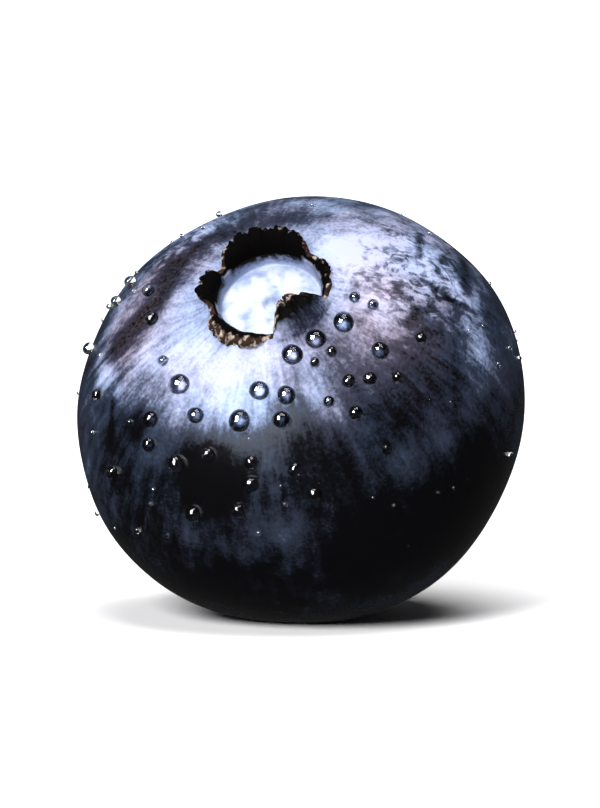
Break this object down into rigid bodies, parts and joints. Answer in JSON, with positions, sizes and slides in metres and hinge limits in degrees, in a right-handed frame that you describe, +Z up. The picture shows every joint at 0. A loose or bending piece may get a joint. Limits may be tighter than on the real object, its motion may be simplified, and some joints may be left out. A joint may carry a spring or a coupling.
{
  "type": "blueberry",
  "caption": "Ripe round blueberry with a lobed crown cup, a stalk scar at the other end and beads of water on its bloomy skin, resting on a small flat spot.",
  "frame": {"origin": "on the resting surface, inside the flat spot, straight below the middle of the fruit", "axes": "+Z is up. The crown is tipped 45 degrees from upright towards -Y and turned 14 degrees to -X. The picture's camera looks along +Y."},
  "size_m": [0.0167, 0.0164, 0.0156],
  "materials": {
    "skin": "dark indigo skin under a dull, patchy, blue-white waxy bloom",
    "water": "clear water standing in beads"
  },
  "bodies": {
    "root": {"blueberry": "skin"}
  },
  "joints": []
}
